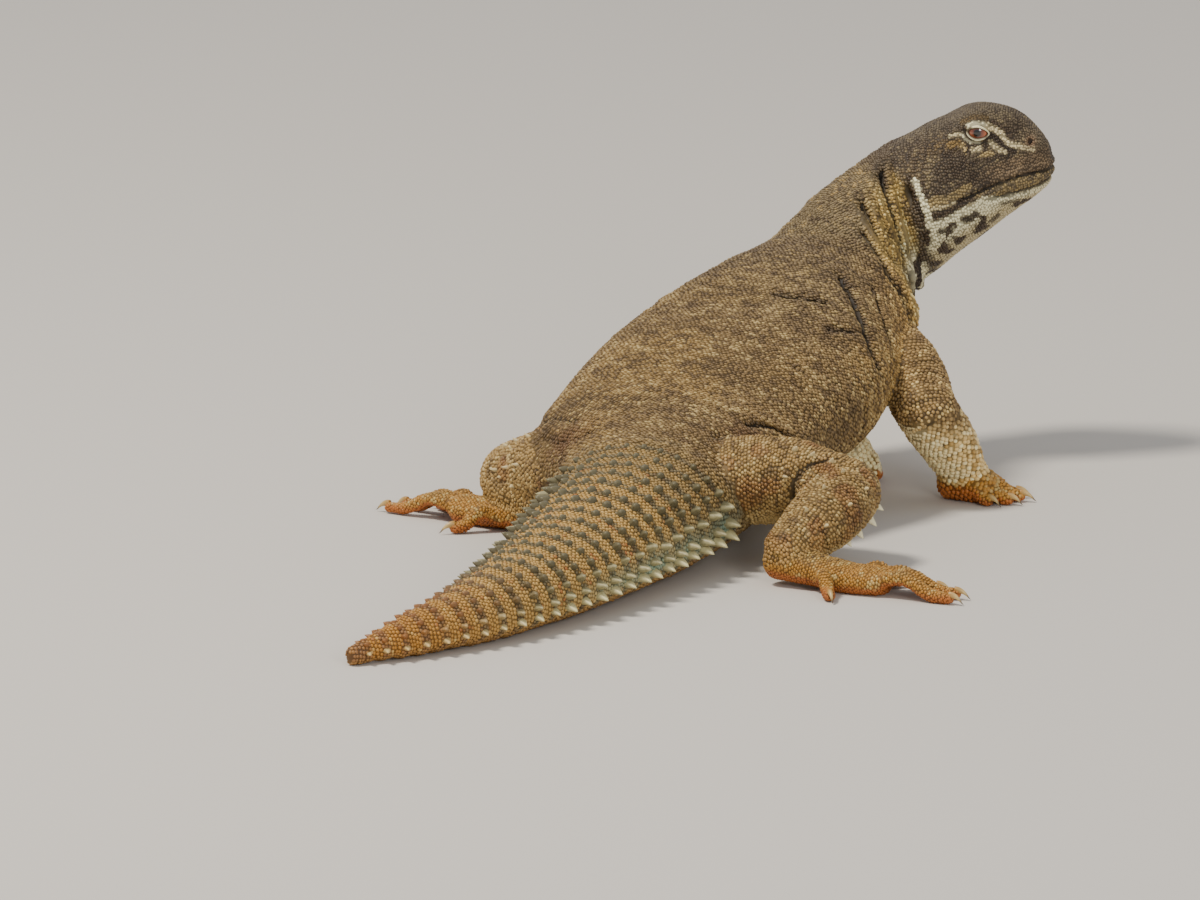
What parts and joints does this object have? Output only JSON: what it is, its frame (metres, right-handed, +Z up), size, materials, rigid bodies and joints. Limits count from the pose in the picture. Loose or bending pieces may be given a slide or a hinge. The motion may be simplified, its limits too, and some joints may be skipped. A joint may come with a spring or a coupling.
{
  "type": "spiny-tailed lizard model",
  "caption": "Still life-size lizard with its chest raised on its forelegs, its head turned to its right, and whorls of spines down a broad tail.",
  "frame": {"origin": "on the floor under the middle of the model's box", "axes": "+X forwards along the trunk, +Y to the animal's left, +Z up"},
  "size_m": [0.3266, 0.1954, 0.0959],
  "materials": {
    "eye": "wet dark red-brown eye with a black pupil",
    "feet": "fine orange-ochre scales with pale horn claws",
    "head": "fine dark grey-brown scales with cream bands and lips",
    "legs": "mottled brown and ochre scales",
    "neck": "loose folded skin in ochre and brown",
    "tail": "whorls of dark spines between ochre bands",
    "torso": "fine speckled olive-brown scales"
  },
  "bodies": {
    "root": {"eye_left": "eye", "eye_right": "eye", "forefoot_left": "feet", "forefoot_right": "feet", "foreleg_left": "legs", "foreleg_right": "legs", "head": "head", "hindfoot_left": "feet", "hindfoot_right": "feet", "hindleg_left": "legs", "hindleg_right": "legs", "neck": "neck", "tail_end": "tail", "tail_root": "tail", "torso": "torso"}
  },
  "joints": []
}
